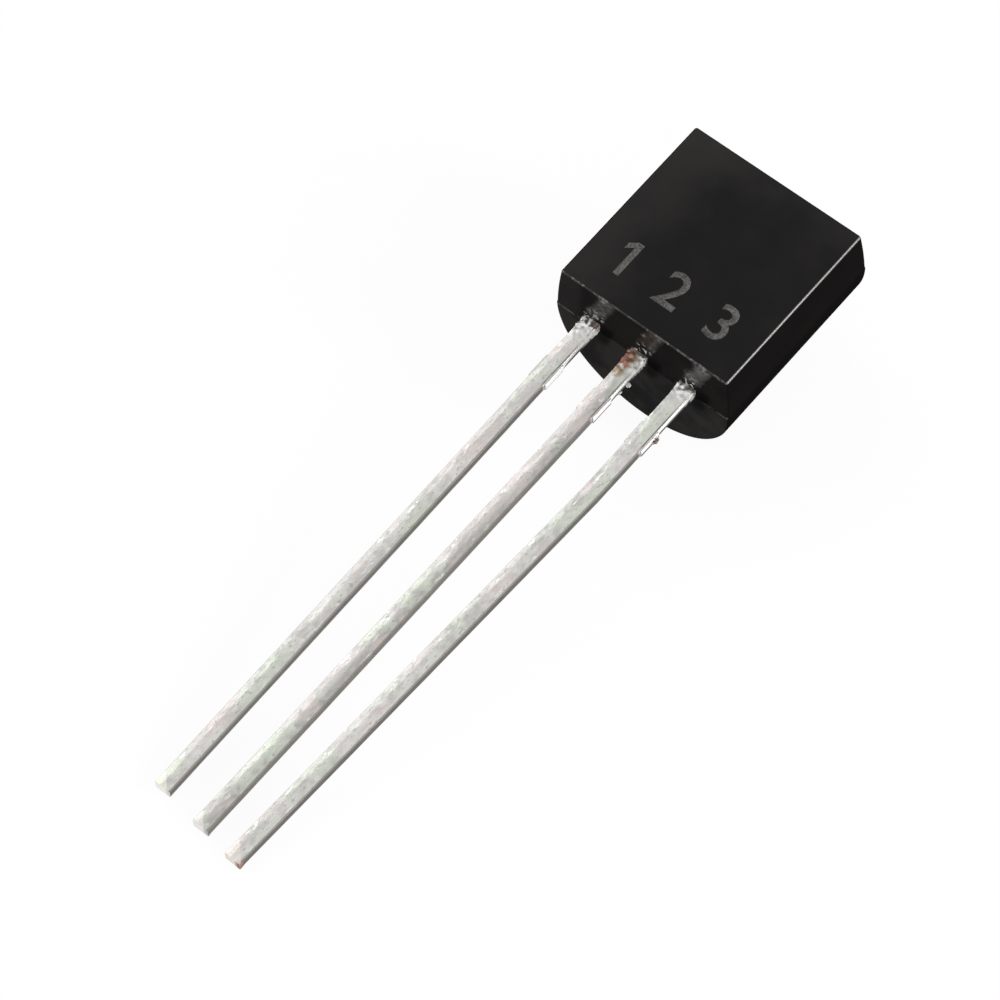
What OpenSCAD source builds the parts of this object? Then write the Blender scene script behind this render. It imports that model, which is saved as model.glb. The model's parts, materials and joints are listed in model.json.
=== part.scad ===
// Small three-lead transistor in a TO-92 package, lying on its round back and the ends of its leads.
// Each piece is drawn in the package's own frame and then laid down by at_rest(). In the package's frame
// X runs across the leads, Y away from them into the body, and Z out of the flat face. Its zero is in the
// plane of the flat face, at the middle of the end that the leads leave.

/* [Moulded body] */
// Width across the parting line, which is also the diameter of the round back
body_w = 4.58; // [4.5:0.01:5.2]
// How far each side swells out between the flat face and the parting line
side_swell = 0.105; // [0.05:0.005:0.3]
// Height of the body at the parting line, along the leads
body_h = 4.68; // [4.3:0.01:5.3]
// Depth from the flat face to the parting line
front_depth = 1.25; // [1.1:0.01:1.5]
// Draft of both ends in front of the parting line, in degrees
front_draft = 4; // [1:0.1:6]
// Draft of both ends behind the parting line, in degrees
back_draft = 0.5; // [0.5:0.1:4]
// Radius of the edges round the flat face
flat_edge_r = 0.05; // [0.02:0.01:0.12]
// Radius of the edges where the round back meets the two ends
back_edge_r = 0.06; // [0.05:0.01:0.2]

/* [Leads outside the body] */
// Thickness of the sheet that the leads are stamped from
sheet_t = 0.25; // [0.2:0.01:0.4]
// Distance between neighbouring leads where they leave the body
lead_pitch = 1.27; // [1.2:0.01:1.35]
// Distance of the centre lead to the left of the body's middle
row_shift = 0.05; // [0:0.01:0.12]
// Width of a lead from the body to the cut tie bar
root_w = 0.4; // [0.38:0.01:0.5]
// Width of a lead beyond the tie bar
lead_w = 0.4; // [0.3:0.01:0.44]
// Distance from the body to the tie bar
tie_gap = 1.2; // [0.9:0.05:1.6]
// Width of the tie bar, along the leads
tie_h = 0.6; // [0.3:0.05:0.9]
// Length of the stubs that the cut tie bar leaves on each side of a lead
tie_stub = 0.03; // [0.02:0.01:0.08]
// Distance from the body at which the leads are bent a little
bend_gap = 3.2; // [2.6:0.1:6]
// Length of the right lead, which is the longest
lead_length = 13.95; // [8:0.01:16]
// How much shorter the left lead is cut
left_short = 0.32; // [0:0.01:1]
// How much shorter the centre lead is cut
centre_short = 0.15; // [0:0.01:1]
// Lean of the left lead beyond the bend, in degrees to the right
left_lean = 0.4; // [-2:0.1:2]
// Lean of the centre lead beyond the bend, in degrees to the right
centre_lean = -0.25; // [-1:0.05:1]
// Lean of the right lead beyond the bend, in degrees to the right
right_lean = -1.9; // [-3:0.1:2]

/* [Lead frame inside the body] */
// Distance from the body's end to the locking ears of each lead
ear_gap = 0.5; // [0.3:0.05:0.6]
// Width across the locking ears
ear_w = 0.8; // [0.6:0.05:1]
// Length of the locking ears along the lead
ear_h = 0.35; // [0.25:0.01:0.4]
// Diameter of the hole between the ears, which the moulding fills
ear_hole_d = 0.18; // [0.1:0.01:0.22]
// Height of the centre lead's post inside the body
centre_post = 1.65; // [1.5:0.05:1.8]
// Height of the left lead's post inside the body
left_post = 3.1; // [2.4:0.05:3.5]
// Width of the bonding heads of the left and centre posts
head_w = 0.74; // [0.6:0.02:0.9]
// Length of the bonding heads
head_h = 0.58; // [0.4:0.02:0.65]
// Gap between the centre post's head and the paddle
paddle_gap = 0.3; // [0.2:0.05:0.5]
// Width of the paddle on the right lead
paddle_w = 2; // [1.6:0.05:2.1]
// Height of the paddle
paddle_h = 1.5; // [1.2:0.05:1.9]
// Radius of the corners of the paddle and the heads
plate_corner_r = 0.08; // [0.04:0.01:0.15]

/* [Chip and bond wires] */
// Width of the square chip
chip_w = 0.6; // [0.4:0.02:0.8]
// Thickness of the chip
chip_t = 0.2; // [0.12:0.01:0.25]
// Thickness of the solder under the chip
solder_t = 0.02; // [0.01:0.01:0.04]
// Width of the solder fillet round the chip
solder_margin = 0.04; // [0.02:0.01:0.08]
// Distance from the chip's middle to each bond pad, along and across the chip
pad_offset = 0.15; // [0.1:0.01:0.15]
// Diameter of the bond wires
wire_d = 0.05; // [0.03:0.005:0.06]
// Height of a wire's loop above the straight line between its ends
wire_rise = 0.32; // [0.2:0.01:0.4]
// Diameter of the ball that joins a wire to the chip
ball_d = 0.13; // [0.1:0.01:0.16]
// Height of the ball
ball_h = 0.04; // [0.03:0.01:0.06]
// Diameter of the pressed end that joins a wire to a post
stitch_d = 0.12; // [0.1:0.01:0.16]
// Height of the pressed end
stitch_h = 0.02; // [0.01:0.005:0.03]

/* [Hidden] */
$fn = 96;

// Room past a shape, for the shapes that only cut it
past = 1;

// The back face of the leads lies on the parting line
lead_back = -front_depth;
lead_front = lead_back + sheet_t;
back_r = body_w / 2;
flat_w = body_w - 2 * side_swell;

// Length of each lead outside the body
left_length = lead_length - left_short;
centre_length = lead_length - centre_short;

// Middle of each lead across the body
left_x = -row_shift - lead_pitch;
centre_x = -row_shift;
right_x = -row_shift + lead_pitch;

// The paddle's right edge carries on the right lead's outer edge
paddle_x = right_x + root_w / 2 - paddle_w / 2;
paddle_y = centre_post + paddle_gap + paddle_h / 2;
chip_bottom = lead_front + solder_t;
chip_top = chip_bottom + chip_t;

// Attitude at rest: the floor touches the tips of the longest lead and the round back's near edge
function tip_reach(length, lean) =
    bend_gap + (length - bend_gap) * cos(lean) + lead_w / 2 * abs(sin(lean));
reach = max(
    tip_reach(left_length, left_lean),
    tip_reach(centre_length, centre_lean),
    tip_reach(lead_length, right_lean)
);
edge_run = reach + back_edge_r;
edge_drop = back_r - back_edge_r;
tilt = asin(back_edge_r / norm([edge_run, edge_drop])) + atan2(edge_drop, edge_run);
lift = reach * sin(tilt) + front_depth * cos(tilt);
near_y = -reach * cos(tilt) - lead_front * sin(tilt);
far_y = (body_h - back_edge_r) * cos(tilt) + (front_depth + edge_drop) * sin(tilt) + back_edge_r;

// Turns and shifts a piece from the package's frame to the part's frame, which is centred over the floor
module at_rest() {
    translate([0, -(near_y + far_y) / 2, lift])
        rotate([tilt, 0, 0])
            children();
}

// Outline with its top edge at zero, sides that flare down to the base, and round top corners
module drafted_outline(top_w, base_w, depth, edge_r) {
    flare = atan2((base_w - top_w) / 2, depth);
    cut = edge_r / tan((90 + flare) / 2);
    centre = top_w / 2 - cut;
    polygon([
        [-base_w / 2, -depth],
        [base_w / 2, -depth],
        [top_w / 2 + cut * sin(flare), -cut * cos(flare)],
        [centre, 0],
        [-centre, 0],
        [-top_w / 2 - cut * sin(flare), -cut * cos(flare)]
    ]);
    for (side = [-1, 1])
        translate([side * centre, -edge_r])
            circle(r = edge_r);
}

// Outline with its top edge at zero, sides that swell to the base as one arc each, and round top corners
module swelling_outline(top_w, base_w, depth, edge_r) {
    swell = (base_w - top_w) / 2;
    side_r = (depth * depth + swell * swell) / (2 * swell);
    side_x = base_w / 2 - side_r;
    corner_run = sqrt(pow(side_r - edge_r, 2) - pow(depth - edge_r, 2));
    corner_x = side_x + corner_run;
    share = side_r / (side_r - edge_r);
    meet_x = side_x + corner_run * share;
    meet_y = (depth - edge_r) * share - depth;
    intersection() {
        translate([-base_w / 2, -depth])
            square([base_w, depth + meet_y]);
        translate([side_x, -depth])
            circle(r = side_r);
        translate([-side_x, -depth])
            circle(r = side_r);
    }
    polygon([
        [-corner_x, -depth / 2], [corner_x, -depth / 2], [meet_x, meet_y],
        [corner_x, 0], [-corner_x, 0], [-meet_x, meet_y]
    ]);
    for (side = [-1, 1])
        translate([side * corner_x, -edge_r])
            circle(r = edge_r);
}

// Rectangle with round corners, centred on the origin
module rounded_plate(width, height, corner_r) {
    square([width - 2 * corner_r, height], center = true);
    square([width, height - 2 * corner_r], center = true);
    for (x = [-1, 1], y = [-1, 1])
        translate([x * (width / 2 - corner_r), y * (height / 2 - corner_r)])
            circle(r = corner_r);
}

// Front half of the moulding: flat face, swelling sides, drafted ends, and corners that match the back's edge
module front_half() {
    end_flare = front_depth * tan(front_draft);
    intersection() {
        translate([0, body_h + past, 0])
            rotate([90, 0, 0])
                linear_extrude(body_h + 2 * past)
                    swelling_outline(flat_w, body_w, front_depth, flat_edge_r);
        translate([-body_w / 2 - past, body_h / 2, 0])
            rotate([90, 0, 90])
                linear_extrude(body_w + 2 * past)
                    drafted_outline(body_h - 2 * end_flare, body_h, front_depth, flat_edge_r);
        translate([0, body_h / 2, -front_depth])
            linear_extrude(front_depth)
                rounded_plate(body_w, body_h, back_edge_r);
    }
}

// Back half of the moulding: half a cylinder with round end edges, cut by the draft of its ends
module back_half() {
    end_taper = back_r * tan(back_draft);
    intersection() {
        translate([0, 0, -front_depth])
            rotate([-90, 0, 0])
                rotate_extrude(angle = 180)
                    half_round_profile();
        translate([-back_r - past, 0, -front_depth])
            rotate([90, 0, 90])
                linear_extrude(body_w + 2 * past)
                    polygon([[0, 0], [body_h, 0], [body_h - end_taper, -back_r], [end_taper, -back_r]]);
    }
}

// Half section of the round back, from its middle line out
module half_round_profile() {
    square([back_r - back_edge_r, body_h]);
    translate([0, back_edge_r])
        square([back_r, body_h - 2 * back_edge_r]);
    for (y = [back_edge_r, body_h - back_edge_r])
        translate([back_r - back_edge_r, y])
            circle(r = back_edge_r);
}

// Outline of one lead from its tip to the height that it reaches inside the body, with its bend mitred
module lead_outline(length, lean, inside) {
    root = root_w / 2;
    stub = root + tie_stub;
    half = lead_w / 2;
    tie_end = tie_gap + tie_h;
    mitre = half * tan(lean / 2);
    tip = [0, -bend_gap] + (length - bend_gap) * [sin(lean), -cos(lean)];
    across = half * [cos(lean), sin(lean)];
    polygon([
        [-root, inside], [-root, -tie_gap], [-stub, -tie_gap], [-stub, -tie_end],
        [-half, -tie_end], [-half, -bend_gap - mitre], tip - across,
        tip + across, [half, -bend_gap + mitre], [half, -tie_end],
        [stub, -tie_end], [stub, -tie_gap], [root, -tie_gap], [root, inside]
    ]);
}

// One stamped lead: the common outline and locking ears, with the post or paddle given as children
module stamped_lead(x, length, lean, inside) {
    translate([x, 0, lead_back])
        linear_extrude(sheet_t)
            difference() {
                union() {
                    lead_outline(length, lean, inside);
                    translate([-ear_w / 2, ear_gap])
                        square([ear_w, ear_h]);
                    children();
                }
                translate([0, ear_gap + ear_h / 2])
                    circle(d = ear_hole_d);
            }
}

// Bonding head at the top of a post
module bonding_head(post) {
    translate([0, post - head_h / 2])
        rounded_plate(head_w, head_h, plate_corner_r);
}

// Bond wire from a pad on the chip to a post: a ball, a loop that is one arc, and a pressed end
module bond_wire(pad, post) {
    span = norm(post - pad);
    drop = chip_top - lead_front;
    chord = norm([span, drop]);
    arc_r = (chord * chord / 4 + wire_rise * wire_rise) / (2 * wire_rise);
    centre = [span, -drop] / 2 - (arc_r - wire_rise) * [drop, span] / chord;
    spare = asin(2 * wire_d / arc_r);
    from = atan2(-drop - centre[1], span - centre[0]) - spare;
    to = atan2(-centre[1], -centre[0]) + spare;
    heading = atan2(post[1] - pad[1], post[0] - pad[0]);
    translate([pad[0], pad[1], chip_top]) {
        cylinder(d = ball_d, h = ball_h);
        rotate([90, 0, heading])
            difference() {
                translate(centre)
                    rotate([0, 0, from])
                        rotate_extrude(angle = to - from)
                            translate([arc_r, 0])
                                circle(d = wire_d);
                translate([-past, -past, -past / 2])
                    cube([past + span / 2, past, past]);
                translate([span / 2, -drop - past, -past / 2])
                    cube([span / 2 + past, past, past]);
            }
    }
    translate([post[0], post[1], lead_front])
        cylinder(d = stitch_d, h = stitch_h);
}

// The pieces in the package's frame
module left_stamping() {
    stamped_lead(left_x, left_length, left_lean, left_post - head_h / 2)
        bonding_head(left_post);
}

module centre_stamping() {
    stamped_lead(centre_x, centre_length, centre_lean, centre_post - head_h / 2)
        bonding_head(centre_post);
}

module right_stamping() {
    stamped_lead(right_x, lead_length, right_lean, paddle_y)
        translate([paddle_x - right_x, paddle_y])
            rounded_plate(paddle_w, paddle_h, plate_corner_r);
}

module chip_block() {
    translate([paddle_x - chip_w / 2, paddle_y - chip_w / 2, chip_bottom])
        cube([chip_w, chip_w, chip_t]);
}

module solder_layer() {
    solder_w = chip_w + 2 * solder_margin;
    translate([paddle_x - solder_w / 2, paddle_y - solder_w / 2, lead_front])
        cube([solder_w, solder_w, solder_t]);
}

module left_bond() {
    bond_wire([paddle_x - pad_offset, paddle_y + pad_offset], [left_x, left_post - head_h / 2]);
}

module centre_bond() {
    bond_wire([paddle_x - pad_offset, paddle_y - pad_offset], [centre_x, centre_post - head_h / 2]);
}

// The pieces as they lie
module moulded_body() {
    color([0.11, 0.11, 0.115])
        at_rest()
            difference() {
                union() {
                    front_half();
                    back_half();
                }
                left_stamping();
                centre_stamping();
                right_stamping();
                solder_layer();
                chip_block();
                left_bond();
                centre_bond();
            }
}

module left_lead() {
    color([0.84, 0.84, 0.82])
        at_rest()
            left_stamping();
}

module centre_lead() {
    color([0.84, 0.84, 0.82])
        at_rest()
            centre_stamping();
}

module right_lead() {
    color([0.84, 0.84, 0.82])
        at_rest()
            right_stamping();
}

module chip() {
    color([0.32, 0.34, 0.4])
        at_rest()
            chip_block();
}

module chip_solder() {
    color([0.66, 0.67, 0.69])
        at_rest()
            solder_layer();
}

module left_wire() {
    color([0.86, 0.66, 0.3])
        at_rest()
            left_bond();
}

module centre_wire() {
    color([0.86, 0.66, 0.3])
        at_rest()
            centre_bond();
}

moulded_body();
left_lead();
centre_lead();
right_lead();
chip();
chip_solder();
left_wire();
centre_wire();
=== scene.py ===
import json
import math

import bmesh
import bpy
from mathutils import Matrix, Vector, noise


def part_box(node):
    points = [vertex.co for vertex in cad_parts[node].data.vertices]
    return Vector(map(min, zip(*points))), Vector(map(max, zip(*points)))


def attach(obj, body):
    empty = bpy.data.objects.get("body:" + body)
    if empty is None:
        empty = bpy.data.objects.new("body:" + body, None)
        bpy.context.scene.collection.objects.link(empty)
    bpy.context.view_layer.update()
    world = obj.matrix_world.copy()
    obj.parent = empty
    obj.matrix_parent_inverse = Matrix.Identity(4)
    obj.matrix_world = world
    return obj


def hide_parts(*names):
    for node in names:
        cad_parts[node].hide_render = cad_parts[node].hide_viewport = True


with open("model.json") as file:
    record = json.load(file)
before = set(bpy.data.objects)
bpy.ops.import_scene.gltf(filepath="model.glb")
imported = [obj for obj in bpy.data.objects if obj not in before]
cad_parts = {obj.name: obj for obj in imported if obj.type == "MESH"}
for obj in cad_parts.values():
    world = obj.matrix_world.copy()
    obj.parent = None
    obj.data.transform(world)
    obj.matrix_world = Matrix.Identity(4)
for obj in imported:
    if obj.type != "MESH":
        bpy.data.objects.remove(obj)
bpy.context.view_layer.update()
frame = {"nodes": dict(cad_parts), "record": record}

# Pieces are modelled in the package's own frame, in millimetres, and then laid down where the CAD has them.
# X runs across the leads, Y from them into the body, Z out of the flat face.
mm = 0.001
weld = 0.0005         # points of a CAD mesh that lie closer than this become one
flatWithin = 0.5      # its faces that meet at less than this many degrees become one
cutTolerance = 0.0001
sharpFrom = 40        # degrees between the faces of an edge that gets rounded
smoothUpTo = 35       # degrees between the faces of an edge that is shaded smooth
mounts = {mount["name"]: mount for mount in frame["record"]["mounts"]}
body = {
    "height": 4.68,       # at the parting line
    "flatWidth": 4.37,
    "frontDepth": 1.25,   # flat to parting line
    "frontDraft": 4.0,    # of the ends, in degrees
    "backDraft": 0.5,
    "swellSteps": 10,     # levels in the arc of the front half's sides
    "flatEdge": 0.05,     # radius of the edges round the flat
    "flatRim": 0.005,     # a strip round the flat, which keeps the shading of the rest even
    "flatEdgeSteps": 6,
    "backEdge": 0.06,     # radius of the edges round the back
    "backEdgeSteps": 10,
    "cornerSteps": 8,     # of the front half's upright corners
    "step": 0.01,         # the back half of the mould stands this far outside the front half
    "stepEdge": 0.01,
    "stepEdgeSteps": 3,
    "stepSharp": 60,      # degrees between the faces of the back half's rim at the parting plane
    "overlap": 0.2,       # how far the front half runs on inside the back half before they are joined
    "ringGap": 0.001,     # its lowest ring lies this far under the parting plane, so that the two join cleanly
    "roundSteps": 192,
}
outOfFlat = Vector(mounts["marked_flat"]["axis"]).normalized()
alongBody = outOfFlat.cross(Vector((1, 0, 0))).normalized()
leadEnd = Vector(mounts["marked_flat"]["pos_m"]) - alongBody * body["height"] / 2 * mm
turned = Matrix((Vector((1, 0, 0)), alongBody, outOfFlat)).transposed()
layDown = Matrix.Translation(leadEnd) @ turned.to_4x4() @ Matrix.Scale(mm, 4)
standUp = layDown.inverted()
tilt = math.atan2(alongBody.z, alongBody.y)


def onlyThis(piece):
    bpy.ops.object.select_all(action="DESELECT")
    piece.select_set(True)
    bpy.context.view_layer.objects.active = piece


def editOn(piece):
    onlyThis(piece)
    bpy.ops.object.mode_set(mode="EDIT")


def editOff():
    bpy.ops.object.mode_set(mode="OBJECT")


def pick(piece, kind, test):  # in edit mode, selects the edges or faces that pass the test
    bpy.ops.mesh.select_mode(type=kind)
    bpy.ops.mesh.select_all(action="DESELECT")
    mesh = bmesh.from_edit_mesh(piece.data)
    for item in mesh.edges if kind == "EDGE" else mesh.faces:
        if test(item):
            item.select_set(True)
    mesh.select_flush_mode()
    bmesh.update_edit_mesh(piece.data)


def sharpEdge(edge, least=sharpFrom):
    return edge.is_manifold and edge.calc_face_angle() > math.radians(least)


def named(name):  # the object that an operator has just added
    piece = bpy.context.object
    piece.name = name
    piece.data.name = name
    return piece


def copyOfNode(node, name):  # a CAD node's mesh, merged and stood up in the package's frame
    piece = bpy.data.objects.new(name, frame["nodes"][node].data.copy())
    bpy.context.scene.collection.objects.link(piece)
    piece.data.materials.clear()
    piece.data.transform(standUp)
    onlyThis(piece)
    bpy.ops.mesh.customdata_custom_splitnormals_clear()
    editOn(piece)
    bpy.ops.mesh.select_all(action="SELECT")
    bpy.ops.mesh.remove_doubles(threshold=weld)
    bpy.ops.mesh.select_all(action="SELECT")
    bpy.ops.mesh.dissolve_limited(angle_limit=math.radians(flatWithin))
    editOff()
    return piece


def combine(piece, tool, how):  # a Boolean that uses its tool up
    modifier = piece.modifiers.new("combine", "BOOLEAN")
    modifier.operation = how
    modifier.solver = "EXACT"
    modifier.object = tool
    onlyThis(piece)
    bpy.ops.object.modifier_apply(modifier=modifier.name)
    bpy.data.objects.remove(tool)


def smoothFaces(piece):
    onlyThis(piece)
    bpy.ops.object.shade_smooth_by_angle(angle=math.radians(smoothUpTo))
    modifier = piece.modifiers.new("weighted", "WEIGHTED_NORMAL")
    modifier.keep_sharp = True
    bpy.ops.object.modifier_apply(modifier=modifier.name)


def putInPlace(piece, nodes, finish):  # lays a finished piece down where the CAD has it
    piece.data.transform(layDown)
    piece.data.materials.clear()
    piece.data.materials.append(finish)
    if nodes:
        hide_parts(*nodes)
    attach(piece, "root")


# Leads: each is a copy of its CAD node, with rounded edges and the uneven skin of a tin dip
lead = {
    "width": 0.4,
    "sheet": 0.25,
    "tieGap": 1.2,
    "tieHeight": 0.6,
    "bendGap": 3.2,
    "earGap": 0.5,
    "edge": 0.035,        # rolled edge of the tinned sheet
    "edgeSteps": 4,
    "cutTolerance": 0.002,
    "stations": 0.1,      # distance between the cuts across a lead
    "columns": (-0.8, -0.6, -0.42, -0.28, -0.12, 0.1, 0.35, 0.6, 0.82),   # cuts along it, in half widths
    "topShare": 0.7,      # a point this far up the sheet is on its top, and one as far down is on its underside
    "sideShare": 0.8,     # a point this far out, in half widths, is on a side
    "ridge": -0.3,        # where the tin lies thickest, as a share of the half width
    "ridgeWave": 0.22,
    "ridgeRate": 1.1,     # how quickly the ridge wanders
    "leftFall": 0.024,    # how much thinner the tin is at the left edge than at the ridge
    "rightFall": 0.012,
    "mostFall": 0.03,
    "lumps": 0.008,       # depth of the hollows in the tin
    "lumpSize": 0.6,
    "lumpStretch": 0.45,  # their width as a share of their length
    "ripple": 0.003,
    "rippleSize": 0.3,
    "rippleStretch": 0.6,
    "sideWave": 0.006,    # unevenness of the sheared sides
    "sideRate": 0.8,
    "fadeBody": (0.02, 0.25),   # the skin starts between these distances from the body
    "fadeTip": 0.08,
    "crust": 0.036,       # height of the crumbly tin and resin next to the body
    "crustSize": 0.1,
    "crustFade": (0.004, 0.05),
    "crustHold": 0.3,     # share of its reach over which it keeps its height
    "crustRagged": 0.7,   # how far its border wanders, as a share of its reach
    "crustRaggedRate": 0.45,
    "crustBase": 0.25,
    "crustFine": 0.4,
    "crustFineRate": 2.3,
    "crustSides": 0.6,    # its height on the sides, as a share of that on the top
    "crustStep": 0.03,    # distance between the cuts across it
    "crustEnd": 0.9,
    "burrSteps": 4,
    "burrLump": (0.45, 1.7),    # depth and rate of the burrs' lumps, then of their grain
    "burrGrain": (0.2, 4.1),
}
leads = [
    {
        "name": "leftLead", "node": "left_lead", "pin": "left_pin", "lean": 0.4, "length": 13.63, "seed": 3.1,
        "crustReach": 0.6, "burrs": [],
    },
    {
        "name": "centreLead", "node": "centre_lead", "pin": "centre_pin", "lean": -0.25, "length": 13.8, "seed": 17.4,
        "crustReach": 0.7,
        "burrs": [    # place from the lead's middle at the body, and radii
            ((0.235, -0.66, -1.17), (0.06, 0.05, 0.05)),
            ((0.215, -0.9, -1.19), (0.03, 0.06, 0.03)),
            ((-0.2, -0.08, -1.02), (0.045, 0.04, 0.03)),
        ],
    },
    {
        "name": "rightLead", "node": "right_lead", "pin": "right_pin", "lean": -1.9, "length": 13.95, "seed": 31.7,
        "crustReach": 0.34, "burrs": [((0.21, -1.33, -1.15), (0.07, 0.12, 0.075))],
    },
]
for one in leads:
    one["x"] = (standUp @ Vector(mounts[one["pin"]]["pos_m"])).x
    one["slope"] = math.tan(math.radians(one["lean"]))
sheetTop = lead["sheet"] - body["frontDepth"]


def leadMiddle(one, y):  # where the middle of a lead lies across the package
    return one["x"] + one["slope"] * max(0.0, -lead["bendGap"] - y)


def ease(value, low, high):
    share = min(1.0, max(0.0, (value - low) / (high - low)))
    return share * share * (3 - 2 * share)


def cutLead(piece, one):  # stations across the lead, then columns along both of its straight stretches
    editOn(piece)
    stations = [step * lead["stations"] for step in range(1, int(one["length"] / lead["stations"]))]
    stations += [step * lead["crustStep"] for step in range(1, int(lead["crustEnd"] / lead["crustStep"]))]
    for station in stations:
        bpy.ops.mesh.select_all(action="SELECT")
        bpy.ops.mesh.bisect(plane_co=(0, -station, 0), plane_no=(0, 1, 0), threshold=lead["cutTolerance"])
    lean = math.radians(one["lean"])
    for share in lead["columns"]:
        x = one["x"] + share * lead["width"] / 2
        pick(piece, "FACE", lambda face: -lead["bendGap"] < face.calc_center_median().y < -0.001)
        bpy.ops.mesh.bisect(plane_co=(x, 0, 0), plane_no=(1, 0, 0), threshold=lead["cutTolerance"])
        pick(piece, "FACE", lambda face: face.calc_center_median().y < -lead["bendGap"])
        bpy.ops.mesh.bisect(
            plane_co=(x, -lead["bendGap"], 0), plane_no=(math.cos(lean), math.sin(lean), 0),
            threshold=lead["cutTolerance"],
        )
    editOff()


def onTop(place):
    return place.z > sheetTop - lead["sheet"] * (1 - lead["topShare"])


def underneath(place):
    return place.z < sheetTop - lead["sheet"] * lead["topShare"]


def stretched(place, amount, size):  # where to read a noise whose lumps run along the lead
    return Vector((place.x, place.y * amount, place.z)) / size


def hollow(spot, depth):  # between nothing and the depth
    return depth * (0.5 + 0.5 * noise.noise(spot))


def tinSkin(piece, one):  # moves the surface inwards by the crown and by uneven hollows
    for vertex in piece.data.vertices:
        place = vertex.co
        shown = ease(-place.y, *lead["fadeBody"]) * ease(place.y + one["length"], 0.0, lead["fadeTip"])
        if shown == 0:
            continue
        across = (place.x - leadMiddle(one, place.y)) / (lead["width"] / 2)
        along = Vector((one["seed"], place.y * lead["ridgeRate"], 0))
        ridge = lead["ridge"] + lead["ridgeWave"] * noise.noise(along)
        fall = lead["leftFall"] * (ridge - across) if across < ridge else lead["rightFall"] * (across - ridge)
        coarse = stretched(place, lead["lumpStretch"], lead["lumpSize"]) + Vector((0, one["seed"], 0))
        fine = stretched(place, lead["rippleStretch"], lead["rippleSize"]) + Vector((one["seed"], 0, 0))
        uneven = hollow(coarse, lead["lumps"]) + hollow(fine, lead["ripple"])
        drop = (min(fall, lead["mostFall"]) + uneven) * shown
        if onTop(place):
            place.z -= drop
        elif underneath(place):
            place.z += drop
        if abs(across) > lead["sideShare"]:
            wave = hollow(fine * lead["sideRate"] + Vector((0, 0, 9)), lead["sideWave"]) * shown
            place.x -= math.copysign(wave, across)


def crumble(piece, one):  # raises the crumbly skin that the moulding and the tin leave next to the body
    for vertex in piece.data.vertices:
        place = vertex.co
        spot = place / lead["crustSize"] + Vector((0, 0, one["seed"]))
        reach = one["crustReach"] * (1 + lead["crustRagged"] * noise.noise(spot * lead["crustRaggedRate"]))
        amount = ease(-place.y, *lead["crustFade"]) * (1 - ease(-place.y, reach * lead["crustHold"], reach))
        if amount == 0:
            continue
        rough = lead["crustBase"] + noise.noise(spot) + lead["crustFine"] * noise.noise(spot * lead["crustFineRate"])
        lump = lead["crust"] * amount * rough
        if onTop(place):
            place.z += lump
        across = (place.x - one["x"]) / (lead["width"] / 2)
        if abs(across) > lead["sideShare"]:
            place.x += math.copysign(lead["crustSides"] * lump, across)


def addBurrs(piece, one):  # torn tin at the cut tie bar and beads of tin on the sides
    lumpDepth, lumpRate = lead["burrLump"]
    grainDepth, grainRate = lead["burrGrain"]
    for count, (offset, radii) in enumerate(one["burrs"]):
        bpy.ops.mesh.primitive_ico_sphere_add(subdivisions=lead["burrSteps"], radius=1, location=(0, 0, 0))
        burr = named("burr")
        place = Vector((one["x"], 0, 0)) + Vector(offset)
        for vertex in burr.data.vertices:
            point = vertex.co.copy()
            grow = 1 + lumpDepth * noise.noise(point * lumpRate + Vector((one["seed"] + count, 0, 0)))
            grow += grainDepth * noise.noise(point * grainRate + Vector((0, one["seed"], 0)))
            vertex.co = place + Vector([a * b for a, b in zip(point * grow, radii)])
        combine(piece, burr, "UNION")


def rolledEdge(edge):  # a sharp edge of the part of the lead that shows, up to its ears
    ends = [vertex.co.y for vertex in edge.verts]
    return sharpEdge(edge) and (max(ends) < lead["earGap"] - 0.01 or min(ends) < -0.5)


leadPieces = []
cavityTools = []
for one in leads:
    piece = copyOfNode(one["node"], one["name"])
    editOn(piece)
    pick(piece, "EDGE", rolledEdge)
    bpy.ops.mesh.bevel(offset=lead["edge"], segments=lead["edgeSteps"], affect="EDGES", clamp_overlap=True)
    editOff()
    tool = piece.copy()
    tool.data = piece.data.copy()
    bpy.context.scene.collection.objects.link(tool)
    cavityTools.append(tool)
    cutLead(piece, one)
    tinSkin(piece, one)
    crumble(piece, one)
    addBurrs(piece, one)
    smoothFaces(piece)
    leadPieces.append(piece)
    print("lead modelled:", one["name"], len(piece.data.polygons), "faces")


# Moulded body: a round back with drafted ends, a drafted front half on it, and the seat of the lead frame inside
low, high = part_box("moulded_body")
partingWidth = (high.x - low.x) / mm
backRadius = partingWidth / 2


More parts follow.
